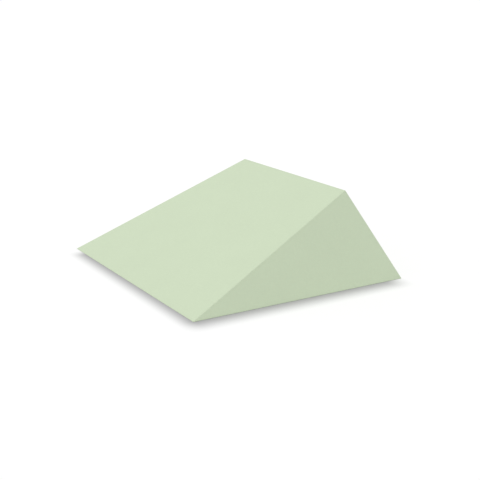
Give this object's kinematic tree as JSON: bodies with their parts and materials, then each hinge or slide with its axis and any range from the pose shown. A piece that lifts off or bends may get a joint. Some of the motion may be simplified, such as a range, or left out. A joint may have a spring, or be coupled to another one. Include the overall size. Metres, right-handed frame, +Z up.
{
  "type": "foam wedge cushion",
  "caption": "Low foam wedge in a zipped fabric cover, with one long slope from a thin front edge to a short ridge and leaning back and ends.",
  "frame": {"origin": "middle of the base, on the surface that the wedge rests on", "axes": "+X along the thin front edge towards the right end, +Y from the front edge towards the back, +Z up"},
  "size_m": [0.5998, 0.5303, 0.1959],
  "materials": {
    "cover_cloth": "matte",
    "grip_cloth": "matte",
    "core_foam": "matte",
    "comfort_foam": "matte",
    "liner_cloth": "matte",
    "zip_tape_cloth": "matte",
    "coil_nylon": "satin",
    "nickel": "satin",
    "label_satin": "satin"
  },
  "bodies": {
    "wedge": {"slope_panel": "cover_cloth", "left_end_panel": "cover_cloth", "right_end_panel": "cover_cloth", "back_panel_upper": "cover_cloth", "back_panel_lower": "cover_cloth", "zip_end_tab_left": "cover_cloth", "zip_end_tab_right": "cover_cloth", "base_panel": "grip_cloth", "foam_core": "core_foam", "comfort_layer": "comfort_foam", "inner_liner": "liner_cloth", "zip_tape_upper": "zip_tape_cloth", "zip_tape_lower": "zip_tape_cloth", "zip_coil_upper": "coil_nylon", "zip_coil_lower": "coil_nylon", "zip_top_stop_upper": "nickel", "zip_top_stop_lower": "nickel", "zip_bottom_stop": "nickel", "care_label": "label_satin"},
    "slider": {"zip_slider": "nickel"},
    "pull_tab": {"zip_pull_tab": "nickel"}
  },
  "joints": [
    {"name": "zip_slide", "type": "slide", "parent": "wedge", "child": "slider", "axis": [1, 0, 0], "range_m": [0, 0.488]},
    {"name": "pull_swing", "type": "hinge", "parent": "slider", "child": "pull_tab", "pos_m": [-0.2442, 0.25227, 0.03362], "axis": [0, -0.4436, 0.8962], "range_deg": [0, 180]}
  ]
}
